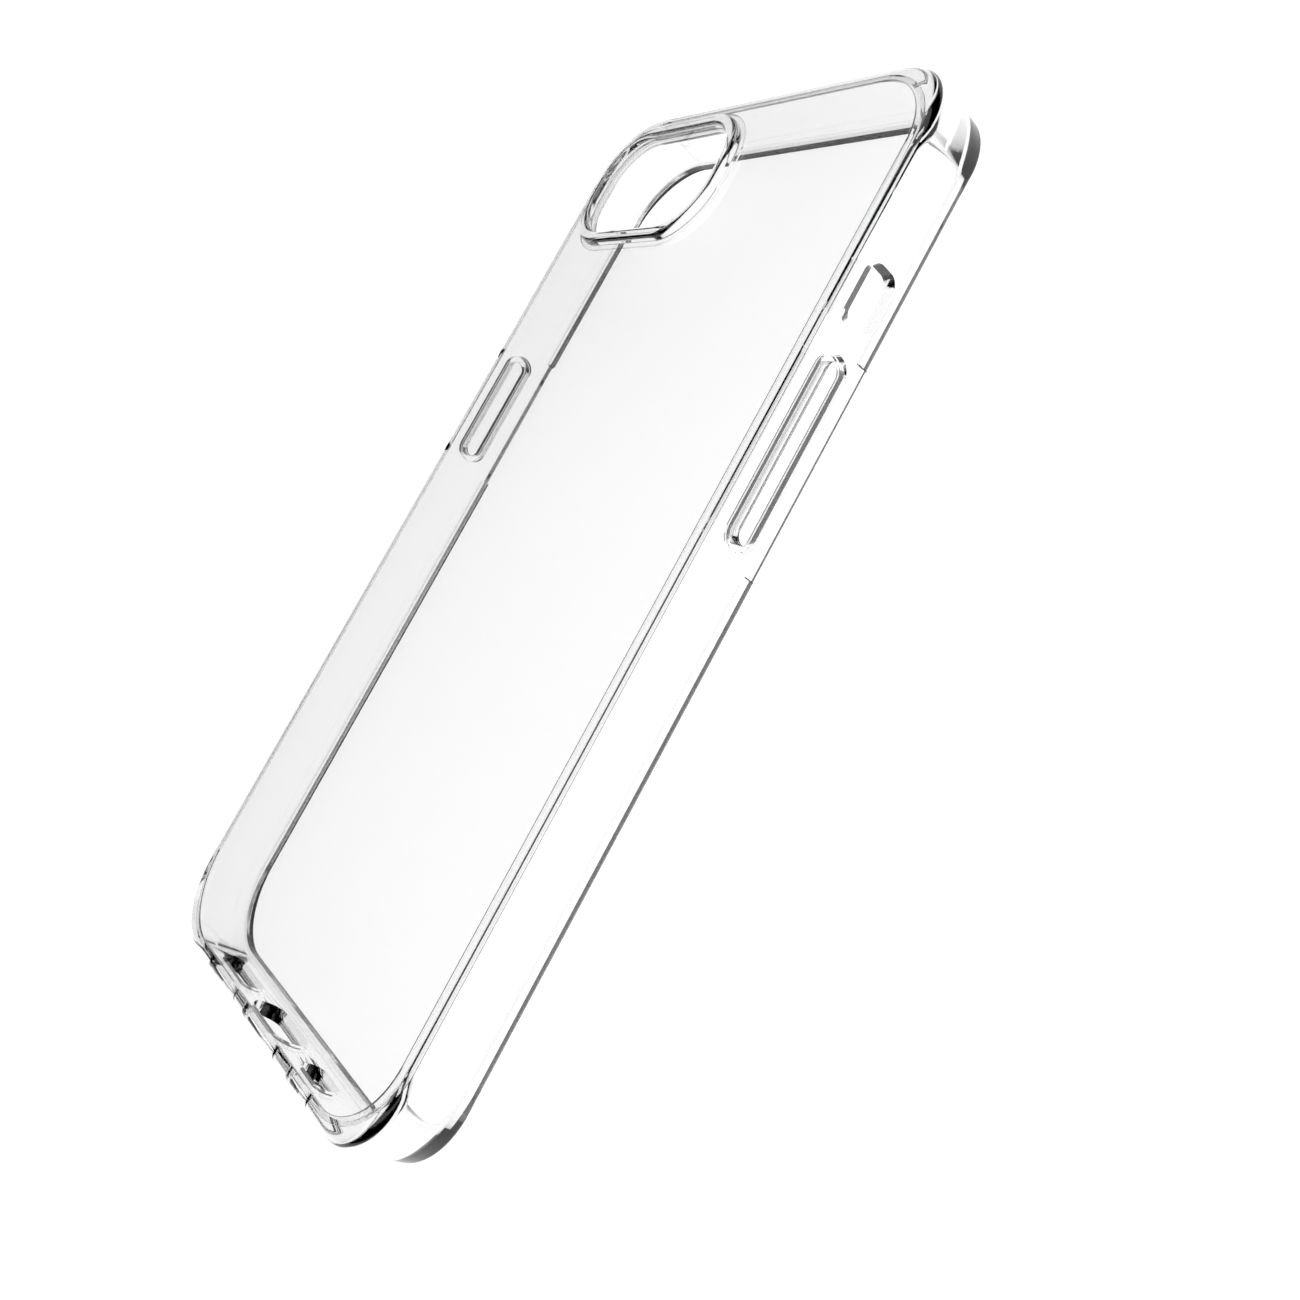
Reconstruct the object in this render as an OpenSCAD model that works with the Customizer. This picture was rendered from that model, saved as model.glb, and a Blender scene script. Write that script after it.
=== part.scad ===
// Clear phone case: a hard clear back panel set in a soft clear bumper frame.
// The case lies on its front rim with its back upwards: X is the width,
// Y the length with the camera end at +Y, and Z goes from the rim to the back.
// Millimetres throughout.

/* [Phone] */
// Width of the phone that the case holds
phone_w = 71.5; // [64:0.1:80]
// Length of the phone
phone_l = 146.7; // [138:0.1:170]
// Thickness of the phone without its camera
phone_t = 7.8; // [7:0.1:9]
// Plan corner radius of the phone
phone_r = 11.5; // [9:0.1:13]

/* [Shell] */
// Gap between the phone and the side walls
fit_gap = 0.1; // [0:0.05:0.3]
// Thickness of the side walls
wall = 2.0; // [1.6:0.1:2.6]
// Thickness of the back panel
panel_t = 1.3; // [1.2:0.1:2]
// Height of the front lip that stands proud of the screen
lip_h = 1.2; // [1:0.1:1.8]
// How far the front lip reaches over the edge of the screen
lip_over = 0.5; // [0.4:0.1:1.6]
// Plan corner radius of the outside, tighter than the cavity's, so that the
// wall is thicker at the corners
corner_r = 11; // [9:0.1:13]
// Radius along the outer edge of the back
back_edge_r = 1.6; // [1:0.1:1.8]
// Radius along the outer edge of the front rim
rim_edge_r = 0.8; // [0.4:0.1:1]
// Distance from the outside of the case to the seam round the back panel
seam_inset = 2.4; // [2:0.1:4]

/* [Camera window] */
// Outer width of the raised surround
ring_w = 34; // [28:0.5:36]
// Outer length of the surround
ring_l = 22; // [18:0.5:26]
// Outer corner radius of the surround
ring_r = 9; // [7:0.5:9]
// Width of the surround's wall
ring_wall = 2.0; // [1.6:0.1:2.5]
// Height of the surround above the back
ring_h = 1.2; // [0.8:0.1:2]
// Radius along the top edges of the surround
ring_edge_r = 0.7; // [0.3:0.1:0.8]
// Centre of the window along the width
ring_x = -17; // [-20:0.5:-14]
// Centre of the window along the length
ring_y = 61.3; // [58:0.1:63]

/* [Side keys] */
// How far a key stands proud of its side wall
key_proud = 0.6; // [0.3:0.1:1]
// Radius round the outer face of a key
key_edge_r = 0.5; // [0.2:0.1:0.5]
// Centre of the volume key along the length
volume_y = 21.2; // [18:0.1:24]
// Length of the volume key, which spans both volume buttons
volume_key_l = 25.4; // [22:0.1:27]
// Height of the volume key
volume_key_w = 2.9; // [2:0.1:3.4]
// Centre of the power key along the length
power_y = 21.6; // [18:0.1:24]
// Length of the power key
power_key_l = 18; // [14:0.1:20]
// Height of the power key
power_key_w = 2.6; // [2:0.1:3.4]
// Width of the thin web round each key
web_band = 0.8; // [0.5:0.1:1]
// Thickness of the web
web_t = 0.6; // [0.4:0.1:0.8]
// Depth of the web below the outer face of the side wall
web_depth = 1.0; // [0.8:0.1:1.2]
// Running gap round the web and round the key
key_gap = 0.15; // [0.1:0.05:0.2]

/* [Openings] */
// Centre of the action button window along the length
action_y = 42.9; // [40:0.1:44]
// Length of the action button window
action_l = 8.7; // [7:0.1:10]
// Height of the action button window
action_w = 4.8; // [4:0.1:5]
// Corner radius of the action button window
action_r = 1.6; // [1:0.1:2]
// Length of the charging port opening
port_l = 13; // [11:0.5:15]
// Height of the charging port opening
port_w = 5.4; // [4.6:0.1:5.6]
// Centre of the loudspeaker slot along the width
speaker_x = -16.5; // [-18:0.1:-15]
// Length of the loudspeaker slot
speaker_l = 11.7; // [8:0.1:12]
// Centre of the microphone slot along the width
mic_x = 15.1; // [14:0.1:16]
// Length of the microphone slot
mic_l = 7.3; // [5:0.1:9]
// Height of both slots
slot_w = 3.6; // [3:0.1:4]
// Length of the relief in the lip beyond each end of a key
relief_extra = 2.5; // [1:0.5:4]
// Depth of that relief
relief_depth = 0.6; // [0.3:0.1:0.8]

/* [Hidden] */
$fn = 96;

// Outside of the case
case_w = phone_w + 2 * (fit_gap + wall);
case_l = phone_l + 2 * (fit_gap + wall);
case_h = phone_t + lip_h + panel_t;
shell_r = phone_r + fit_gap + wall; // outside, if the wall were even all round

// Levels and insets measured in from the outside
ceiling = case_h - panel_t;      // inner face of the back
tongue_t = panel_t / 2;          // thickness of the interlocking edge steps
tongue_reach = 1;                // how far a step reaches under its neighbour
lip_inset = wall + fit_gap + lip_over;
lip_end_r = lip_h / 2;           // the lip's free edge is a half round
mid_z = lip_h + phone_t / 2;     // middle of the phone's side, where keys and ports sit
cut = 1;                         // overrun of every cutting solid
ring_tongue_reach = 0.8;         // foot of the surround under the panel

// A quarter disc with its corner at the origin
module quarter(r) {
    intersection() {
        circle(r);
        square(r);
    }
}

// A rectangle with round corners, centred
module round_rect(w, l, r) {
    square([w - 2 * r, l], center = true);
    square([w, l - 2 * r], center = true);
    for (x = [-1, 1], y = [-1, 1])
        translate([x * (w / 2 - r), y * (l / 2 - r)])
            circle(r);
}

// Sweeps a section round a rounded rectangle. In the section, x is measured
// outwards from the centre of a corner and y is the height.
module around(w, l, r) {
    straight_w = w - 2 * r;
    straight_l = l - 2 * r;
    for (side = [0, 180])
        rotate([0, 0, side]) {
            translate([straight_w / 2, 0, 0])
                rotate([90, 0, 0])
                    linear_extrude(straight_l, center = true)
                        children();
            translate([0, straight_l / 2, 0])
                rotate([90, 0, 90])
                    linear_extrude(straight_w, center = true)
                        children();
            translate([straight_w / 2, straight_l / 2, 0])
                rotate_extrude(angle = 90)
                    children();
            translate([-straight_w / 2, straight_l / 2, 0])
                rotate([0, 0, 90])
                    rotate_extrude(angle = 90)
                        children();
        }
}

// Section of the outside: a broad rim with rounded outer edges
module outer_section() {
    out = corner_r;
    thick = wall + phone_r / 2;
    translate([out - thick, 0])
        square([thick - back_edge_r, case_h]);
    translate([out - back_edge_r, rim_edge_r])
        square([back_edge_r, case_h - back_edge_r - rim_edge_r]);
    translate([out - back_edge_r, 0])
        square([back_edge_r - rim_edge_r, rim_edge_r]);
    translate([out - back_edge_r, case_h - back_edge_r])
        quarter(back_edge_r);
    translate([out - rim_edge_r, rim_edge_r])
        mirror([0, 1])
            quarter(rim_edge_r);
}

// Plan of the shell at a distance in from the outside
module shell_plan(inset) {
    round_rect(case_w - 2 * inset, case_l - 2 * inset, shell_r - inset);
}

// Everything inside the walls: the mouth, the cavity, the groove that holds the
// panel's tongue and the seat of the panel
module shell_cut() {
    translate([0, 0, -cut])
        linear_extrude(lip_h + cut)
            shell_plan(lip_inset - lip_end_r);
    translate([0, 0, lip_h])
        linear_extrude(ceiling - lip_h)
            shell_plan(wall);
    translate([0, 0, ceiling])
        linear_extrude(tongue_t)
            shell_plan(seam_inset - tongue_reach);
    translate([0, 0, ceiling + tongue_t])
        linear_extrude(panel_t - tongue_t + cut)
            shell_plan(seam_inset);
}

// The rounded free edge of the lip
module lip_bead() {
    inset = lip_inset - lip_end_r;
    around(case_w - 2 * inset, case_l - 2 * inset, shell_r - inset)
        translate([shell_r - inset, lip_end_r])
            circle(lip_end_r);
}

// Section of the camera surround, with the foot that holds it in the panel
module ring_section() {
    top = case_h + ring_h;
    translate([ring_r - ring_wall, ceiling])
        square([ring_wall, top - ceiling - ring_edge_r]);
    translate([ring_r - ring_wall + ring_edge_r, top - ring_edge_r])
        square([ring_wall - 2 * ring_edge_r, ring_edge_r]);
    translate([ring_r - ring_edge_r, top - ring_edge_r])
        quarter(ring_edge_r);
    translate([ring_r - ring_wall + ring_edge_r, top - ring_edge_r])
        mirror([1, 0])
            quarter(ring_edge_r);
    translate([ring_r, ceiling])
        square([ring_tongue_reach, tongue_t]);
}

// A pill outline: long axis along y
module pill(l, w) {
    square([w, l - w], center = true);
    for (y = [-1, 1])
        translate([0, y * (l - w) / 2])
            circle(w / 2);
}

// Places children made with z outwards and y along the case on a side wall.
// Their origin lies on the outer face of the wall.
module on_side(side, y) {
    translate([side * case_w / 2, y, mid_z])
        rotate([0, side * 90, 0])
            children();
}

// Places children made with z outwards and y across the case on the bottom wall
module on_bottom(x) {
    translate([x, -case_l / 2, mid_z])
        rotate([90, 0, 0])
            rotate([0, 0, 90])
                children();
}

// A cutter through a side wall
module through_wall() {
    translate([0, 0, -wall - cut])
        linear_extrude(wall + 2 * cut)
            children();
}

// Opening in the wall for a key and its web
module key_opening(l, w) {
    grow = 2 * (web_band + 2 * key_gap);
    through_wall()
        pill(l + grow, w + grow);
}

// Shallow relief in the lip that lets the wall flex beside a key
module lip_relief(side, y, l) {
    translate([side * (case_w / 2 - lip_inset), y, lip_h / 2])
        cube([2 * relief_depth, l + 2 * relief_extra, lip_h + 2 * cut], center = true);
}

// Half of a key's section: x across the key, y outwards from its inner end
module key_half_section(w) {
    h = wall + key_proud;
    square([w / 2, h - key_edge_r]);
    square([w / 2 - key_edge_r, h]);
    translate([w / 2 - key_edge_r, h - key_edge_r])
        quarter(key_edge_r);
}

// A key: a pill with a rounded outer face, flush with the inside of the wall
module key_solid(l, w) {
    translate([0, 0, -wall]) {
        rotate([90, 0, 0])
            linear_extrude(l - w, center = true) {
                key_half_section(w);
                mirror([1, 0])
                    key_half_section(w);
            }
        for (turn = [0, 180])
            rotate([0, 0, turn])
                translate([0, (l - w) / 2, 0])
                    rotate_extrude(angle = 180)
                        key_half_section(w);
    }
}

// The thin web round a key
module web_solid(l, w) {
    inner = 2 * key_gap;
    outer = 2 * (web_band + key_gap);
    translate([0, 0, -web_depth - web_t])
        linear_extrude(web_t)
            difference() {
                pill(l + outer, w + outer);
                pill(l + inner, w + inner);
            }
}

module bumper_frame() {
    color("aliceblue")
        difference() {
            union() {
                difference() {
                    around(case_w, case_l, corner_r)
                        outer_section();
                    shell_cut();
                }
                lip_bead();
            }
            on_side(1, volume_y)
                key_opening(volume_key_l, volume_key_w);
            on_side(-1, power_y)
                key_opening(power_key_l, power_key_w);
            on_side(1, action_y)
                through_wall()
                    round_rect(action_w, action_l, action_r);
            on_bottom(0)
                through_wall()
                    pill(port_l, port_w);
            on_bottom(speaker_x)
                through_wall()
                    pill(speaker_l, slot_w);
            on_bottom(mic_x)
                through_wall()
                    pill(mic_l, slot_w);
            lip_relief(1, volume_y, volume_key_l);
            lip_relief(-1, power_y, power_key_l);
        }
}

module back_panel() {
    color("ghostwhite")
        difference() {
            union() {
                low = seam_inset - tongue_reach;
                translate([0, 0, ceiling])
                    linear_extrude(tongue_t)
                        shell_plan(low);
                translate([0, 0, ceiling])
                    linear_extrude(panel_t)
                        shell_plan(seam_inset);
            }
            translate([ring_x, ring_y, ceiling - cut])
                linear_extrude(panel_t + 2 * cut)
                    round_rect(ring_w, ring_l, ring_r);
            foot = 2 * ring_tongue_reach;
            translate([ring_x, ring_y, ceiling - cut])
                linear_extrude(tongue_t + cut)
                    round_rect(ring_w + foot, ring_l + foot, ring_r + ring_tongue_reach);
        }
}

module camera_ring() {
    color("whitesmoke")
        translate([ring_x, ring_y, 0])
            around(ring_w, ring_l, ring_r)
                ring_section();
}

module volume_key_web() {
    color("azure")
        on_side(1, volume_y)
            web_solid(volume_key_l, volume_key_w);
}

module volume_key() {
    color("lightcyan")
        on_side(1, volume_y)
            key_solid(volume_key_l, volume_key_w);
}

module power_key_web() {
    color("azure")
        on_side(-1, power_y)
            web_solid(power_key_l, power_key_w);
}

module power_key() {
    color("lightcyan")
        on_side(-1, power_y)
            key_solid(power_key_l, power_key_w);
}

bumper_frame();
back_panel();
camera_ring();
volume_key_web();
volume_key();
power_key_web();
power_key();
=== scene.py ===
"""Clear phone case: a clear back panel and camera surround set in a soft clear
bumper frame with two side keys. The case lies on its front rim, back upwards.

Every piece is modelled round the packed CAD frame, in metres."""
import math

import bmesh
import bpy
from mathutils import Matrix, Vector


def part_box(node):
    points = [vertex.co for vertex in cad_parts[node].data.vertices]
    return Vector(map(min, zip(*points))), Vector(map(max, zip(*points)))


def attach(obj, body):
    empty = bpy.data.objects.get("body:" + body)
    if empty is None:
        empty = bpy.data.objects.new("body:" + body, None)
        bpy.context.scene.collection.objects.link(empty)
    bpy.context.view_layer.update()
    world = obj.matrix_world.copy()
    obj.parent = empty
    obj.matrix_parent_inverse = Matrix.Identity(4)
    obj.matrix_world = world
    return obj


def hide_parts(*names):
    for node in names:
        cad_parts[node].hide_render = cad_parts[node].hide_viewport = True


bl_info = {
    "name": "Clear Phone Case",
    "version": (1, 0, 0),
    "blender": (4, 5, 0),
    "location": "View3D > Sidebar > Phone Case",
    "description": "Models a clear phone case with soft frame, hard back and side keys",
    "category": "Object",
}

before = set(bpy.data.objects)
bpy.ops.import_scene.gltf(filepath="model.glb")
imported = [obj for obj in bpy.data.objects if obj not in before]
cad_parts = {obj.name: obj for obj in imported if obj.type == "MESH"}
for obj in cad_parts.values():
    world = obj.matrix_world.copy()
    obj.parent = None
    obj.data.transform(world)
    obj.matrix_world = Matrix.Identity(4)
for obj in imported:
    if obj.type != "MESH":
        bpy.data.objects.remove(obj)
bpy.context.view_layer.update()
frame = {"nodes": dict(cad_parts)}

MM = 0.001
# Bonded solids run this far into each other, so that light passes from one
# clear plastic to the next without a false skin of air between them.
BOND = 0.04 * MM
# Edges shorter than this are leftovers of the cuts.
SLIVER = 0.004 * MM
SHELL_LOW, SHELL_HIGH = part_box("bumper_frame")
PANEL_LOW, PANEL_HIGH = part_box("back_panel")
RING_LOW, RING_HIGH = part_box("camera_ring")
# Edges that turn less than this shade as one smooth surface.
SMOOTH_ANGLE = math.radians(32)
# Light of the room by height, as degrees above the floor and the
# kind of light: low white walls, a dark band, the ring of a softbox, a second
# dark band and the softbox overhead. Chosen for the main view.
DARK, SOFTBOX, WHITE = "dark", "softbox", "white"
ROOM_BANDS = ((0, WHITE), (9, WHITE), (15, DARK), (45, DARK), (48, SOFTBOX),
              (59, SOFTBOX), (61, DARK), (72, DARK), (75, SOFTBOX), (90, SOFTBOX))
# Light given off by the backlit floor, a little over plain white.
FLOOR_GLOW = 1.06


def linear(hex_colour):
    """An sRGB hex colour as linear red, green and blue."""
    parts = [int(hex_colour[i:i + 2], 16) / 255 for i in (0, 2, 4)]
    return tuple(p / 12.92 if p <= 0.04045 else ((p + 0.055) / 1.055) ** 2.4
                 for p in parts)


def size_prop(name, text, millimetres, low=0.0):
    return bpy.props.FloatProperty(
        name=name, description=text, default=millimetres * MM, min=low * MM,
        precision=5, unit="LENGTH", subtype="DISTANCE")


def colour_prop(name, text, hex_colour):
    return bpy.props.FloatVectorProperty(
        name=name, description=text, default=linear(hex_colour), size=3,
        min=0.0, max=1.0, subtype="COLOR")


# ---------------------------------------------------------------- settings

class CaseSizes(bpy.types.PropertyGroup):
    """Sizes of the clear shell"""
    wall: size_prop("Wall", "Thickness of the side walls", 2.0)
    corner_r: size_prop("Corner radius", "Plan radius outside the corners", 11.0)
    shell_r: size_prop("Shell radius", "Plan radius that the inside steps in from", 13.6)
    back_edge_r: size_prop("Back edge", "Radius along the outer edge of the back", 1.6)
    rim_edge_r: size_prop("Rim edge", "Radius along the outer edge of the rim", 0.8)
    lip_reach: size_prop("Lip reach", "How far the lip reaches in from outside", 2.6)
    lip_h: size_prop("Lip height", "Height of the front lip", 1.2)
    seam_inset: size_prop("Seam inset", "From the outside to the panel's seam", 2.4)
    tongue_reach: size_prop("Tongue", "Reach of the panel's tongue into the wall", 1.0)
    seam_edge_r: size_prop("Seam edge", "Softened edges along the panel's seam", 0.12)
    opening_edge_r: size_prop("Opening edge", "Radius round openings", 0.25)


class RingSizes(bpy.types.PropertyGroup):
    """Sizes of the camera surround"""
    wall: size_prop("Wall", "Width of the surround's wall", 2.0)
    plan_r: size_prop("Corner radius", "Outer plan radius of the surround", 9.0)
    edge_r: size_prop("Top edge", "Radius along the top edges", 0.7)
    foot: size_prop("Foot", "Reach of the foot under the panel", 0.8)


class KeySizes(bpy.types.PropertyGroup):
    """Sizes of the side keys and of the openings in the walls"""
    edge_r: size_prop("Key edge", "Radius round the outer face of a key", 0.5)
    action_y: size_prop("Window place", "Centre of the action window", 42.9)
    action_l: size_prop("Window length", "Length of the action window", 8.7)
    action_w: size_prop("Window height", "Height of the action window", 4.8)
    action_r: size_prop("Window radius", "Corner radius of the action window", 1.6)
    port_l: size_prop("Port length", "Length of the charging port opening", 13.0)
    port_w: size_prop("Port height", "Height of the charging port opening", 5.4)
    speaker_x: size_prop("Speaker place", "Centre of the speaker slot", -16.5, -40)
    speaker_l: size_prop("Speaker length", "Length of the speaker slot", 11.7)
    mic_x: size_prop("Microphone place", "Centre of the microphone slot", 15.1, -40)
    mic_l: size_prop("Microphone length", "Length of the microphone slot", 7.3)
    slot_w: size_prop("Slot height", "Height of both slots", 3.6)
    relief_extra: size_prop("Relief end", "Lip relief beyond each end of a key", 2.5)
    relief_depth: size_prop("Relief depth", "Depth of the relief in the lip", 0.6)


class CaseColours(bpy.types.PropertyGroup):
    """Tints of the clear plastics and of the floor"""
    frame: colour_prop("Frame", "Tint of the soft clear frame", "FDFDFD")
    panel: colour_prop("Back panel", "Tint of the hard clear back", "FEFEFE")
    ring: colour_prop("Surround", "Tint of the camera surround", "FDFDFD")
    web: colour_prop("Webs", "Tint of the thin webs", "FAFAFA")
    key: colour_prop("Keys", "Tint of the side keys", "FCFCFC")
    floor: colour_prop("Floor", "Colour of the studio floor", "A2A2A2")


class StageSettings(bpy.types.PropertyGroup):
    """Camera and light"""
    camera_place: bpy.props.FloatVectorProperty(
        name="Camera", description="Where the camera stands", size=3,
        default=(0.15093, -0.02204, 0.09441), precision=5, subtype="TRANSLATION")
    camera_turn: bpy.props.FloatVectorProperty(
        name="Camera turn", description="Rotation of the camera", size=3,
        default=(0.62753, 0.73977, 0.69688), precision=5, subtype="EULER")
    lens: bpy.props.FloatProperty(
        name="Lens", description="Focal length on a 36 mm wide sensor",
        default=34.15, min=5, unit="CAMERA")
    floor_size: size_prop("Floor", "Side of the studio floor", 60000)
    sky: bpy.props.FloatProperty(
        name="Overhead light", description="Brightness of the overhead softbox",
        default=1.3, min=0)


# ---------------------------------------------------------------- modelling

def deselect():
    """Object mode with nothing selected, the CAD nodes included."""
    if bpy.context.mode != "OBJECT":
        bpy.ops.object.mode_set(mode="OBJECT")
    bpy.ops.object.select_all(action="DESELECT")


def pick(kind, test):
    """In edit mode, selects the vertices, edges or faces that pass the test."""
    bpy.ops.mesh.select_mode(type=kind)
    bpy.ops.mesh.select_all(action="DESELECT")
    data = bpy.context.edit_object.data
    mesh = bmesh.from_edit_mesh(data)
    items = {"VERT": mesh.verts, "EDGE": mesh.edges, "FACE": mesh.faces}[kind]
    found = [item for item in items if test(item)]
    for item in found:
        item.select_set(True)
    bmesh.update_edit_mesh(data)
    if not found:
        raise RuntimeError(f"nothing to select on {bpy.context.edit_object.name}")


def along(edge, axis):
    """True where an edge runs along one axis, 0, 1 or 2."""
    step = edge.verts[1].co - edge.verts[0].co
    return abs(step[axis]) > 0.99 * step.length


def finish_edit():
    """Closes the mesh, points its faces outwards and leaves edit mode."""
    bpy.ops.mesh.select_mode(type="VERT")
    bpy.ops.mesh.select_all(action="SELECT")
    bpy.ops.mesh.remove_doubles(threshold=0.001 * MM)
    bpy.ops.mesh.normals_make_consistent(inside=False)
    bpy.ops.object.mode_set(mode="OBJECT")


def rounded_block(name, low, high, axis, radius, steps=16):
    """A block whose four edges along one axis are rounded, left in edit mode."""
    deselect()
    low, high = Vector(low), Vector(high)
    bpy.ops.mesh.primitive_cube_add(size=1, location=(low + high) / 2)
    piece = bpy.context.object
    piece.name = piece.data.name = name
    piece.scale = high - low
    bpy.ops.object.transform_apply(location=True, rotation=True, scale=True)
    bpy.ops.object.mode_set(mode="EDIT")
    pick("EDGE", lambda e: along(e, axis))
    bpy.ops.mesh.bevel(offset=radius, segments=steps, profile=0.5,
                       affect="EDGES", clamp_overlap=True)
    return piece


def swept_band(name, outline, rounds, plan, centre, steps):
    """A closed section carried round a rounded rectangle. In the outline, the
    first number is the distance out from a corner's centre, the second the
    height. Each round is (corner of the outline, radius, steps)."""
    width, length, radius = plan
    run_x, run_y = width - 2 * radius, length - 2 * radius
    start = Vector((centre[0] + run_x / 2, centre[1] - run_y / 2, 0))
    deselect()
    first = start + Vector((outline[0][0], 0, outline[0][1]))
    bpy.ops.mesh.primitive_plane_add(size=MM, location=first)
    piece = bpy.context.object
    piece.name = piece.data.name = name
    bpy.ops.object.transform_apply(location=True, rotation=True, scale=True)
    bpy.ops.object.mode_set(mode="EDIT")
    bpy.ops.mesh.select_mode(type="VERT")
    bpy.ops.mesh.select_all(action="SELECT")
    bpy.ops.mesh.merge(type="CENTER")
    for a, b in zip(outline, outline[1:]):
        bpy.ops.mesh.extrude_region_move(
            TRANSFORM_OT_translate={"value": (b[0] - a[0], 0, b[1] - a[1])})
    bpy.ops.mesh.select_all(action="SELECT")
    bpy.ops.mesh.edge_face_add()
    for corner, corner_r, corner_steps in rounds:
        place = start + Vector((outline[corner][0], 0, outline[corner][1]))
        pick("VERT", lambda v: (v.co - place).length < 0.002 * MM)
        bpy.ops.mesh.bevel(offset=corner_r, segments=corner_steps, profile=0.5,
                           affect="VERTICES", clamp_overlap=False)
    bpy.ops.mesh.select_mode(type="EDGE")
    bpy.ops.mesh.select_all(action="SELECT")
    bpy.ops.mesh.delete(type="ONLY_FACE")
    bpy.ops.mesh.select_all(action="SELECT")
    corners = [((1, 1), (0, run_y, 0)), ((-1, 1), (-run_x, 0, 0)),
               ((-1, -1), (0, -run_y, 0)), ((1, -1), (run_x, 0, 0))]
    for (side_x, side_y), step in corners:
        bpy.ops.mesh.extrude_region_move(TRANSFORM_OT_translate={"value": step})
        bpy.ops.mesh.spin(
            steps=steps, angle=math.pi / 2, axis=(0, 0, -1),
            center=(centre[0] + side_x * run_x / 2, centre[1] + side_y * run_y / 2, 0))
    finish_edit()
    return piece


def cut(piece, cutter):
    """Cuts one solid out of another and removes the cutter."""
    deselect()
    bpy.context.view_layer.objects.active = piece
    piece.select_set(True)
    change = piece.modifiers.new("Cut", "BOOLEAN")
    change.operation = "DIFFERENCE"
    change.solver = "EXACT"
    change.object = cutter
    bpy.ops.object.modifier_apply(modifier=change.name)
    bpy.data.meshes.remove(cutter.data)


def soften(piece, radius, steps, test):
    """Rounds the sharp edges of a piece that pass the test."""
    deselect()
    bpy.context.view_layer.objects.active = piece
    piece.select_set(True)
    bpy.ops.object.mode_set(mode="EDIT")
    pick("EDGE", lambda e: len(e.link_faces) == 2
         and e.calc_face_angle() > math.radians(40) and test(e))
    bpy.ops.mesh.bevel(offset=radius, segments=steps, profile=0.5,
                       affect="EDGES", clamp_overlap=True)
    finish_edit()


def seal(piece):
    """Merges the slivers that many cuts leave, and fills any gap between them."""
    deselect()
    bpy.context.view_layer.objects.active = piece
    piece.select_set(True)
    bpy.ops.object.mode_set(mode="EDIT")
    bpy.ops.mesh.select_mode(type="VERT")
    bpy.ops.mesh.select_all(action="SELECT")
    bpy.ops.mesh.remove_doubles(threshold=SLIVER)
    bpy.ops.mesh.dissolve_degenerate(threshold=SLIVER)
    bpy.ops.mesh.quads_convert_to_tris(quad_method="BEAUTY", ngon_method="BEAUTY")
    bpy.ops.mesh.select_all(action="DESELECT")
    bpy.ops.mesh.select_non_manifold(extend=False)
    bpy.ops.mesh.fill_holes(sides=0)
    finish_edit()


def polish(piece):
    """Smooth shading that keeps large flat faces truly flat."""
    deselect()
    bpy.context.view_layer.objects.active = piece
    piece.select_set(True)
    bpy.ops.object.shade_smooth_by_angle(angle=SMOOTH_ANGLE)
    change = piece.modifiers.new("Flat faces", "WEIGHTED_NORMAL")
    change.keep_sharp = True
    change.weight = 60
    bpy.ops.object.modifier_apply(modifier=change.name)
    deselect()


def place(piece, body, slot, material, *nodes):
    """Gives a finished piece its finish, its body and the CAD node it replaces."""
    piece.data.materials.clear()
    piece.data.materials.append(material)
    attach(piece, body)
    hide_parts(*nodes)


# ---------------------------------------------------------------- materials

def add_node(tree, kind, inputs=None, **settings):
    """Adds a node with its settings. An input is a value or a socket."""
    new = tree.nodes.new(kind)
    for key, value in settings.items():
        setattr(new, key, value)
    for key, value in (inputs or {}).items():
        if isinstance(value, bpy.types.NodeSocket):
            tree.links.new(value, new.inputs[key])
        else:
            new.inputs[key].default_value = value
    return new


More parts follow.
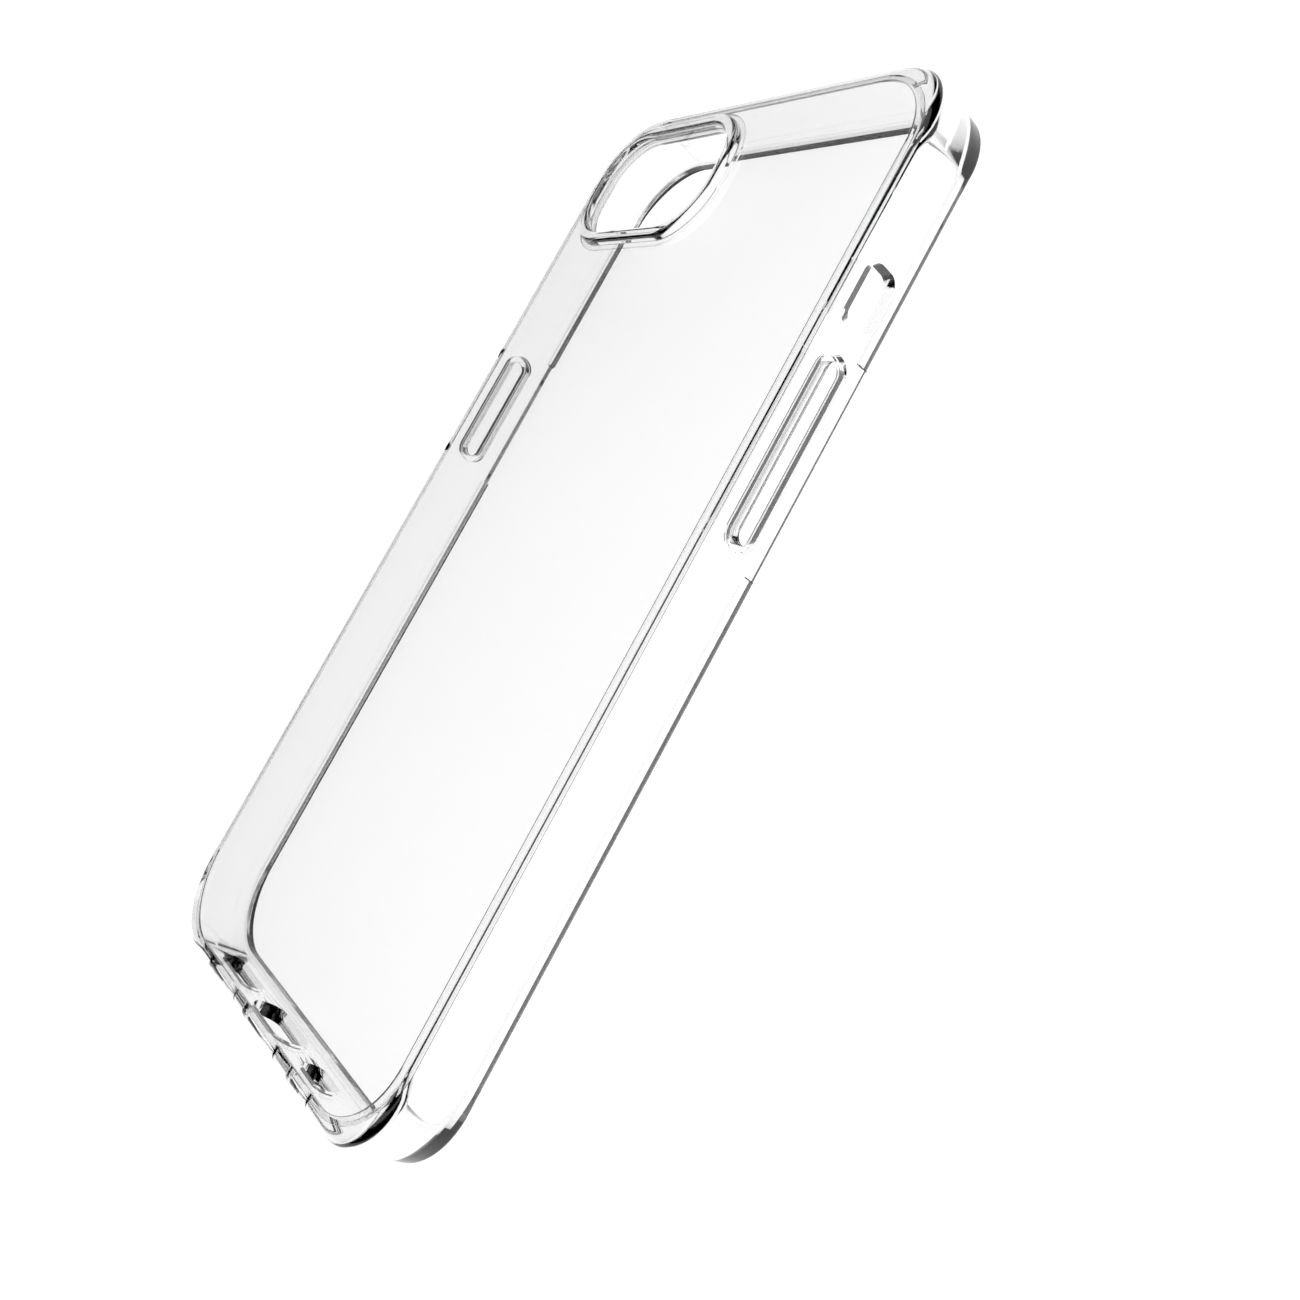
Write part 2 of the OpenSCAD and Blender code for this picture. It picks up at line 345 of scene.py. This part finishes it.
def clear_plastic(name, tint, ior, roughness, flow, grain, relief, scuff, depth):
    """A moulded clear plastic. flow is the spacing of the slow waves left where
    the melt ran, grain the size of the fine surface texture and relief its
    height, all in metres; scuff is how much handling dulls it. Light that has
    gone depth metres through the plastic keeps 37 % of its strength, so long
    ways along a wall turn dark, as they do in the edge of any clear sheet."""
    material = bpy.data.materials.new(name)
    material.use_nodes = True
    tree = material.node_tree
    tree.nodes.clear()
    where = add_node(tree, "ShaderNodeTexCoord").outputs["Object"]
    waves = add_node(tree, "ShaderNodeTexNoise", {
        "Vector": where, "Scale": 1 / flow, "Detail": 2.0, "Roughness": 0.4})
    fine = add_node(tree, "ShaderNodeTexNoise", {
        "Vector": where, "Scale": 1 / grain, "Detail": 3.0, "Roughness": 0.55})
    # hairlines: long thin streaks, 0.2 mm apart and 6 mm long
    drawn = add_node(tree, "ShaderNodeMapping", {
        "Vector": where, "Rotation": (0.2, 0.15, 0.5),
        "Scale": (1 / (0.2 * MM), 1 / (6 * MM), 1 / (2 * MM))})
    streaks = add_node(tree, "ShaderNodeTexNoise", {
        "Vector": drawn.outputs["Vector"], "Scale": 1.0, "Detail": 1.0})
    worn = add_node(tree, "ShaderNodeMapRange", {
        "Value": streaks.outputs["Fac"], "From Min": 0.62, "From Max": 0.78,
        "To Min": 0.0, "To Max": scuff})
    dull = add_node(tree, "ShaderNodeMapRange", {
        "Value": waves.outputs["Fac"], "From Min": 0.3, "From Max": 0.7,
        "To Min": roughness * 0.7, "To Max": roughness * 1.3})
    gloss = add_node(tree, "ShaderNodeMath", {
        0: dull.outputs["Result"], 1: worn.outputs["Result"]}, operation="ADD")
    shade = [c * 0.985 for c in tint]
    density = add_node(tree, "ShaderNodeMix", {
        "Factor": waves.outputs["Fac"], "A": (*tint, 1), "B": (*shade, 1)},
        data_type="RGBA")
    slow = add_node(tree, "ShaderNodeMath", {
        0: waves.outputs["Fac"], 1: 3.0}, operation="MULTIPLY")
    height = add_node(tree, "ShaderNodeMath", {
        0: slow.outputs[0], 1: fine.outputs["Fac"]}, operation="ADD")
    bump = add_node(tree, "ShaderNodeBump", {
        "Height": height.outputs[0], "Strength": 1.0, "Distance": relief})
    body = add_node(tree, "ShaderNodeBsdfPrincipled", {
        "Base Color": density.outputs["Result"], "Roughness": gloss.outputs[0],
        "Normal": bump.outputs["Normal"], "IOR": ior, "Transmission Weight": 1.0})
    inside = add_node(tree, "ShaderNodeVolumeAbsorption", {
        "Color": (0.0, 0.0, 0.0, 1.0), "Density": 1 / depth})
    add_node(tree, "ShaderNodeOutputMaterial", {
        "Surface": body.outputs["BSDF"], "Volume": inside.outputs["Volume"]})
    return material


# ---------------------------------------------------------------- operators

class CASE_OT_bumper_frame(bpy.types.Operator):
    """Model the soft clear frame with its lip, key openings and ports"""
    bl_idname = "phonecase.bumper_frame"
    bl_label = "Bumper Frame"

    def execute(self, context):
        s, k = context.scene.case_sizes, context.scene.case_keys
        out, top = s.corner_r, SHELL_HIGH.z
        ceiling, step = PANEL_LOW.z, (PANEL_LOW.z + PANEL_HIGH.z) / 2
        thick = out * 0.7
        outline = [(out - thick, 0), (out, 0), (out, top), (out - thick, top)]
        rounds = [(1, s.rim_edge_r, 6), (2, s.back_edge_r, 12)]
        width, length = (SHELL_HIGH - SHELL_LOW).xy
        piece = swept_band("bumper_frame_shell", outline, rounds,
                           (width, length, out), (0, 0), 28)
        over = 0.3 * MM
        for inset, low, high in (
                (s.lip_reach, -over, s.lip_h + over),
                (s.wall, s.lip_h, ceiling + over),
                (s.seam_inset - s.tongue_reach + BOND, ceiling + BOND, step - BOND),
                (s.seam_inset + BOND, step - over, top + over)):
            corner = Vector((SHELL_HIGH.x - inset, SHELL_HIGH.y - inset))
            cutter = rounded_block("cutter", (*-corner, low), (*corner, high),
                                   2, s.shell_r - inset, 28)
            finish_edit()
            cut(piece, cutter)

        def at(e, height):
            return all(abs(v.co.z - height) < 0.002 * MM for v in e.verts)

        soften(piece, s.lip_h * 0.495, 6,
               lambda e: at(e, 0) or (at(e, s.lip_h) and e.is_convex))
        soften(piece, s.seam_edge_r, 3, lambda e: at(e, top))
        deep = s.wall + 1 * MM
        for cutter in self.openings(s, k, deep):
            cut(piece, cutter)
        side = SHELL_HIGH.x
        bottom = SHELL_LOW.y
        low, high = s.lip_h + 0.5 * MM, ceiling - 0.3 * MM

        def round_opening(e):
            """Sharp edges of an opening, on the faces of a side or end wall."""
            if not all(low < v.co.z < high for v in e.verts):
                return False
            for plane, axis, sign in ((side, 0, 1), (side, 0, -1), (-bottom, 1, -1)):
                for depth in (0, s.wall):
                    if all(abs(v.co[axis] * sign - plane + depth) < 0.003 * MM
                           for v in e.verts):
                        return True
            return False

        soften(piece, s.opening_edge_r, 4, round_opening)
        seal(piece)
        polish(piece)
        tint = context.scene.case_colours.frame
        # Clear TPU, moulded in a polished tool: soft and glossy, with slow waves
        # in the surface that bend the light along its edges.
        material = clear_plastic("Clear TPU, polished moulding", tint, 1.50, 0.02,
                                 9 * MM, 0.7 * MM, 0.0008 * MM, 0.03, 150 * MM)
        place(piece, "case", "soft_clear", material, "bumper_frame")
        return {"FINISHED"}

    def openings(self, s, k, deep):
        """The cutters for keys, window, ports and lip reliefs, one by one."""
        over = 1 * MM
        side, bottom = SHELL_HIGH.x, SHELL_LOW.y
        for web, sign in (("volume_key_web", 1), ("power_key_web", -1)):
            low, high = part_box(web)
            reach = sorted((sign * (side + over), sign * (side - deep)))
            yield self.cutter((reach[0], low.y + BOND, low.z + BOND),
                              (reach[1], high.y - BOND, high.z - BOND),
                              0, (high.z - low.z) * 0.499 - BOND)
        middle = (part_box("volume_key")[0].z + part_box("volume_key")[1].z) / 2
        yield self.cutter(
            (side - deep, k.action_y - k.action_l / 2, middle - k.action_w / 2),
            (side + over, k.action_y + k.action_l / 2, middle + k.action_w / 2),
            0, k.action_r)
        for x, length, height in ((0, k.port_l, k.port_w),
                                  (k.speaker_x, k.speaker_l, k.slot_w),
                                  (k.mic_x, k.mic_l, k.slot_w)):
            yield self.cutter((x - length / 2, bottom - over, middle - height / 2),
                              (x + length / 2, bottom + deep, middle + height / 2),
                              1, height * 0.499)
        for key, sign in (("volume_key", 1), ("power_key", -1)):
            low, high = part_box(key)
            lip = side - s.lip_reach
            reach = sorted((sign * (lip - over), sign * (lip + k.relief_depth)))
            yield self.cutter((reach[0], low.y - k.relief_extra, -over),
                              (reach[1], high.y + k.relief_extra, s.lip_h + over),
                              2, k.relief_depth * 0.5)

    def cutter(self, low, high, axis, radius):
        piece = rounded_block("cutter", low, high, axis, radius, 14)
        finish_edit()
        return piece


class CASE_OT_back_panel(bpy.types.Operator):
    """Model the hard clear back with its edge tongue and camera window"""
    bl_idname = "phonecase.back_panel"
    bl_label = "Back Panel"

    def execute(self, context):
        s, r = context.scene.case_sizes, context.scene.case_ring
        low, high = PANEL_LOW, PANEL_HIGH
        step = (low.z + high.z) / 2
        tongue_r = s.shell_r - s.seam_inset + s.tongue_reach
        piece = rounded_block("back_panel_sheet", low, (high.x, high.y, step),
                              2, tongue_r, 28)
        pick("FACE", lambda f: f.normal.z > 0.99)
        bpy.ops.mesh.inset(thickness=s.tongue_reach, depth=0)
        bpy.ops.mesh.extrude_region_move(
            TRANSFORM_OT_translate={"value": (0, 0, high.z - step)})
        finish_edit()
        over = 1 * MM
        middle = (RING_LOW + RING_HIGH) / 2
        reach = (RING_HIGH - RING_LOW) / 2
        for grow, top in ((0, high.z + over), (r.foot, step - BOND)):
            half = (reach.x - r.foot + grow - BOND, reach.y - r.foot + grow - BOND)
            cutter = rounded_block(
                "cutter", (middle.x - half[0], middle.y - half[1], low.z - over),
                (middle.x + half[0], middle.y + half[1], top),
                2, r.plan_r + grow - BOND, 24)
            finish_edit()
            cut(piece, cutter)
        soften(piece, s.seam_edge_r, 3,
               lambda e: all(abs(v.co.z - high.z) < 0.001 * MM for v in e.verts))
        polish(piece)
        tint = context.scene.case_colours.panel
        # Clear polycarbonate sheet with a hard coat: flat, hard and very glossy,
        # with only the finest hairlines.
        material = clear_plastic("Clear polycarbonate, hard coated", tint, 1.58,
                                 0.008, 30 * MM, 1.5 * MM, 0.0004 * MM, 0.02,
                                 150 * MM)
        place(piece, "case", "hard_clear", material, "back_panel")
        return {"FINISHED"}


class CASE_OT_camera_ring(bpy.types.Operator):
    """Model the raised surround of the camera window"""
    bl_idname = "phonecase.camera_ring"
    bl_label = "Camera Surround"

    def execute(self, context):
        r = context.scene.case_ring
        low, high = RING_LOW, RING_HIGH
        step = (PANEL_LOW.z + PANEL_HIGH.z) / 2
        out, inside, foot = r.plan_r, r.plan_r - r.wall, r.plan_r + r.foot
        outline = [(inside, low.z), (foot, low.z), (foot, step), (out, step),
                   (out, high.z), (inside, high.z)]
        rounds = [(4, r.edge_r, 8), (5, r.edge_r, 8), (0, 0.2 * MM, 3)]
        width, length = (high - low).xy
        middle = (low + high) / 2
        piece = swept_band("camera_ring_surround", outline, rounds,
                           (width - 2 * r.foot, length - 2 * r.foot, out),
                           middle.xy, 28)
        polish(piece)
        tint = context.scene.case_colours.ring
        # Clear TPU with a mirror-polished tool face: thick and rounded, so it
        # gathers the dark and bright parts of the room in bands.
        material = clear_plastic("Clear TPU, mirror polished", tint, 1.50, 0.006,
                                 7 * MM, 0.8 * MM, 0.0006 * MM, 0.015, 25 * MM)
        place(piece, "case", "ring_clear", material, "camera_ring")
        return {"FINISHED"}


class CASE_OT_key_webs(bpy.types.Operator):
    """Model the thin flexible web round each side key"""
    bl_idname = "phonecase.key_webs"
    bl_label = "Key Webs"

    def execute(self, context):
        tint = context.scene.case_colours.web
        # Thin clear TPU, flexed at every press: a little hazier than the frame.
        material = clear_plastic("Clear TPU, thin web", tint, 1.50, 0.04,
                                 4 * MM, 0.5 * MM, 0.0008 * MM, 0.05, 150 * MM)
        for key, body in (("volume_key", "volume_carrier"),
                          ("power_key", "power_button")):
            low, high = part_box(key + "_web")
            key_low, key_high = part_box(key)
            piece = rounded_block(key + "_web_band", low, high, 0,
                                  (high.z - low.z) * 0.499, 16)
            finish_edit()
            over = Vector((1 * MM, 0, 0))
            hole_low = Vector((low.x, key_low.y + BOND, key_low.z + BOND)) - over
            hole_high = Vector((high.x, key_high.y - BOND, key_high.z - BOND)) + over
            cutter = rounded_block("cutter", hole_low, hole_high, 0,
                                   (hole_high.z - hole_low.z) * 0.499, 16)
            finish_edit()
            cut(piece, cutter)
            polish(piece)
            place(piece, body, "web_clear", material, key + "_web")
        return {"FINISHED"}


class CASE_OT_side_keys(bpy.types.Operator):
    """Model the volume key and the power key"""
    bl_idname = "phonecase.side_keys"
    bl_label = "Side Keys"

    def execute(self, context):
        k = context.scene.case_keys
        tint = context.scene.case_colours.key
        # Clear TPU caps, satin where fingers press them.
        material = clear_plastic("Clear TPU, key caps", tint, 1.50, 0.03,
                                 6 * MM, 0.6 * MM, 0.0008 * MM, 0.05, 150 * MM)
        for key, body, sign in (("volume_key", "volume_rocker", 1),
                                ("power_key", "power_button", -1)):
            low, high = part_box(key)
            piece = rounded_block(key + "_cap", low, high, 0,
                                  (high.z - low.z) * 0.499, 16)
            pick("EDGE", lambda e: not along(e, 0)
                 and all(v.co.x * sign > (sign * (low.x + high.x)) / 2 for v in e.verts))
            bpy.ops.mesh.bevel(offset=k.edge_r, segments=6, profile=0.5,
                               affect="EDGES", clamp_overlap=True)
            finish_edit()
            polish(piece)
            place(piece, body, "key_clear", material, key)
        return {"FINISHED"}


class CASE_OT_stage(bpy.types.Operator):
    """Set up the pale floor, the soft studio light and the camera"""
    bl_idname = "phonecase.stage"
    bl_label = "Studio Stage"

    def execute(self, context):
        stage, scene = context.scene.case_stage, context.scene
        deselect()
        bpy.ops.mesh.primitive_plane_add(size=stage.floor_size,
                                         location=(0, 0, SHELL_LOW.z - 0.02 * MM))
        floor = bpy.context.object
        floor.name = floor.data.name = "studio_floor"
        bpy.ops.object.transform_apply(location=True, rotation=True, scale=True)
        floor.data.materials.append(self.paper(scene.case_colours.floor))
        self.room(scene, stage.sky)
        camera = bpy.data.cameras.new("studio_camera")
        camera.lens = stage.lens
        camera.sensor_width = 36
        camera.clip_start, camera.clip_end = 0.001, 200
        seat = bpy.data.objects.new("studio_camera", camera)
        scene.collection.objects.link(seat)
        seat.location = stage.camera_place
        seat.rotation_euler = stage.camera_turn
        scene.camera = seat
        scene.view_settings.view_transform = "Standard"
        return {"FINISHED"}

    def paper(self, tint):
        """Opal acrylic lit from behind: an even white that glows, so a clear
        piece standing on it throws almost no shadow; the mottle is very faint."""
        material = bpy.data.materials.new("Opal acrylic, lit from behind")
        material.use_nodes = True
        tree = material.node_tree
        tree.nodes.clear()
        where = add_node(tree, "ShaderNodeTexCoord").outputs["Object"]
        mottle = add_node(tree, "ShaderNodeTexNoise", {
            "Vector": where, "Scale": 1 / (40 * MM), "Detail": 3.0})
        shade = [c * 0.985 for c in tint]
        colour = add_node(tree, "ShaderNodeMix", {
            "Factor": mottle.outputs["Fac"], "A": (*tint, 1), "B": (*shade, 1)},
            data_type="RGBA")
        body = add_node(tree, "ShaderNodeBsdfPrincipled", {
            "Base Color": colour.outputs["Result"], "Roughness": 0.95,
            "Specular IOR Level": 0.1, "Emission Color": (1, 1, 1, 1),
            "Emission Strength": FLOOR_GLOW})
        add_node(tree, "ShaderNodeOutputMaterial", {"Surface": body.outputs["BSDF"]})
        return material

    def room(self, scene, sky):
        """A white room with dark bands between its low walls and its softboxes.
        Clear plastic shows only what it bends into view, so the bands are what
        draw its edges."""
        world = bpy.data.worlds.new("Studio room")
        scene.world = world
        world.use_nodes = True
        tree = world.node_tree
        tree.nodes.clear()
        where = add_node(tree, "ShaderNodeTexCoord").outputs["Generated"]
        split = add_node(tree, "ShaderNodeSeparateXYZ", {"Vector": where})
        lift = add_node(tree, "ShaderNodeMath", {
            0: split.outputs["Z"]}, operation="ARCSINE")
        level = add_node(tree, "ShaderNodeMapRange", {
            "Value": lift.outputs[0], "From Min": 0.0, "From Max": math.pi / 2})
        ramp = add_node(tree, "ShaderNodeValToRGB", {"Fac": level.outputs["Result"]})
        light = {DARK: 0.0, WHITE: 1.0 / sky, SOFTBOX: 1.0}
        bands = ramp.color_ramp.elements
        while len(bands) < len(ROOM_BANDS):
            bands.new(0.5)
        for band, (degrees, kind) in zip(bands, ROOM_BANDS):
            band.position = degrees / 90
            band.color = (light[kind], light[kind], light[kind], 1)
        glow = add_node(tree, "ShaderNodeBackground", {
            "Color": ramp.outputs["Color"], "Strength": sky})
        # Seen straight on, the room is plain white down to the floor.
        plain = add_node(tree, "ShaderNodeBackground", {
            "Color": (1.0, 1.0, 1.0, 1.0), "Strength": 1.0})
        seen = add_node(tree, "ShaderNodeLightPath")
        room = add_node(tree, "ShaderNodeMixShader", {
            0: seen.outputs["Is Camera Ray"], 1: glow.outputs["Background"],
            2: plain.outputs["Background"]})
        add_node(tree, "ShaderNodeOutputWorld", {"Surface": room.outputs["Shader"]})


STEPS = (CASE_OT_stage, CASE_OT_bumper_frame, CASE_OT_back_panel,
         CASE_OT_camera_ring, CASE_OT_key_webs, CASE_OT_side_keys)


class CASE_PT_sidebar(bpy.types.Panel):
    """Sizes, colours and steps of the clear phone case"""
    bl_idname = "CASE_PT_sidebar"
    bl_label = "Clear Phone Case"
    bl_space_type = "VIEW_3D"
    bl_region_type = "UI"
    bl_category = "Phone Case"

    def draw(self, context):
        layout = self.layout
        for name in GROUPS:
            group = getattr(context.scene, name)
            box = layout.box()
            box.label(text=type(group).__doc__)
            for key in type(group).__annotations__:
                box.prop(group, key)
        for step in STEPS:
            layout.operator(step.bl_idname)


GROUPS = {"case_sizes": CaseSizes, "case_ring": RingSizes, "case_keys": KeySizes,
          "case_colours": CaseColours, "case_stage": StageSettings}
CLASSES = (*GROUPS.values(), *STEPS, CASE_PT_sidebar)


def register():
    for cls in CLASSES:
        bpy.utils.register_class(cls)
    for name, group in GROUPS.items():
        setattr(bpy.types.Scene, name, bpy.props.PointerProperty(type=group))


def unregister():
    for name in GROUPS:
        delattr(bpy.types.Scene, name)
    for cls in reversed(CLASSES):
        bpy.utils.unregister_class(cls)


def main():
    register()
    bpy.ops.phonecase.stage()
    bpy.ops.phonecase.bumper_frame()
    bpy.ops.phonecase.back_panel()
    bpy.ops.phonecase.camera_ring()
    bpy.ops.phonecase.key_webs()
    bpy.ops.phonecase.side_keys()


if __name__ == "__main__":
    main()
